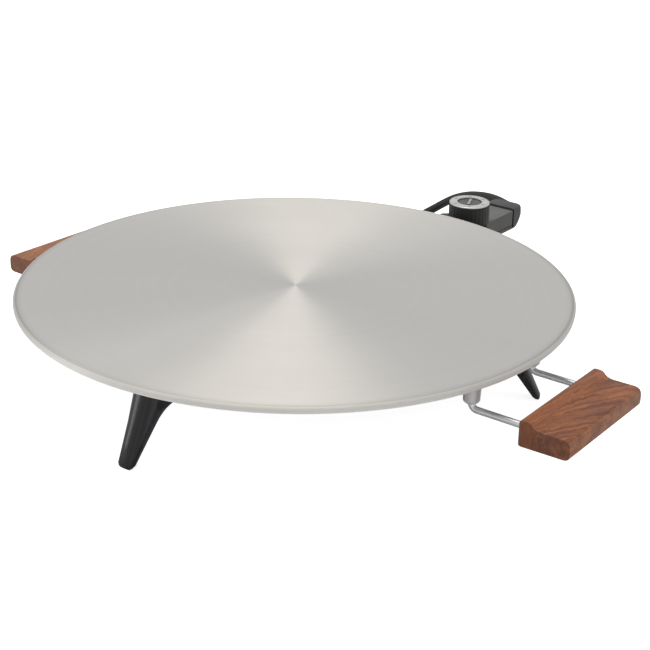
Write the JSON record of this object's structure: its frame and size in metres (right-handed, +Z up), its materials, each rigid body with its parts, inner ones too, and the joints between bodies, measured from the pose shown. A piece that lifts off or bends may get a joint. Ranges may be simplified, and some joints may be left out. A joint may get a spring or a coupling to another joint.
{
  "type": "electric griddle",
  "caption": "Round electric griddle: turned aluminium plate on splayed legs, wooden side handles on bent rods, plug-in dial control and cord.",
  "frame": {"origin": "on the table, under the middle of the box round the griddle and its control, without the free cord; the plate axis is at x = 0, y = -0.0474", "axes": "+Z up; +X from the left handle to the right handle; +Y from the front leg towards the plug-in control"},
  "size_m": [0.5118, 0.5657, 0.0803],
  "materials": {
    "cast_aluminium": "lathe-turned satin",
    "steel_rod": "bright plated",
    "screw_steel": "zinc plated",
    "guard_sheet": "satin sheet",
    "element_sheath": "oxidised sheath",
    "ceramic": "matte",
    "lamp_glass": "clear",
    "brass": "satin",
    "dark_wood": "stained, satin",
    "black_phenolic": "moulded, semi-gloss",
    "control_plastic": "moulded, satin",
    "dial_silver": "satin",
    "pilot_red": "clear red",
    "cord_rubber": "matte"
  },
  "bodies": {
    "griddle": {"griddle_plate": "cast_aluminium", "guard_screw_left": "screw_steel", "guard_screw_right": "screw_steel", "handle_grip_left": "dark_wood", "handle_grip_right": "dark_wood", "handle_rod_left_front": "steel_rod", "handle_rod_left_rear": "steel_rod", "handle_rod_right_front": "steel_rod", "handle_rod_right_rear": "steel_rod", "heating_element": "element_sheath", "leg_front": "black_phenolic", "leg_rear_left": "black_phenolic", "leg_rear_right": "black_phenolic", "leg_screw_front": "screw_steel", "leg_screw_rear_left": "screw_steel", "leg_screw_rear_right": "screw_steel", "set_screw_left_front": "screw_steel", "set_screw_left_rear": "screw_steel", "set_screw_right_front": "screw_steel", "set_screw_right_rear": "screw_steel", "terminal_guard": "guard_sheet", "terminal_insulator_left": "ceramic", "terminal_insulator_right": "ceramic", "terminal_pin_left": "steel_rod", "terminal_pin_right": "steel_rod"},
    "control": {"control_cover": "control_plastic", "control_base": "control_plastic", "control_end_cap": "control_plastic", "base_screw_back": "screw_steel", "base_screw_left": "screw_steel", "base_screw_right": "screw_steel", "temperature_probe": "steel_rod", "contact_sleeve_left": "brass", "contact_sleeve_right": "brass", "thermostat_block": "ceramic", "bimetal_blade": "brass", "contact_blade": "brass", "pilot_lens": "pilot_red", "pilot_lamp": "lamp_glass", "strain_relief": "cord_rubber", "power_cord": "cord_rubber", "cord_coil": "cord_rubber", "cord_tail": "cord_rubber", "plug_body": "cord_rubber", "plug_blade_left": "brass", "plug_blade_right": "brass"},
    "dial": {"dial_knob": "control_plastic", "dial_plate": "dial_silver", "dial_insert": "control_plastic", "dial_spindle": "brass"}
  },
  "joints": [
    {"name": "control_pull_off", "type": "slide", "parent": "griddle", "child": "control", "axis": [0, 1, 0], "range_m": [0, 0.1]},
    {"name": "dial_turn", "type": "hinge", "parent": "control", "child": "dial", "pos_m": [0, 0.1866, 0.0705], "axis": [0, 0, 1], "range_deg": [-210, 60]}
  ]
}
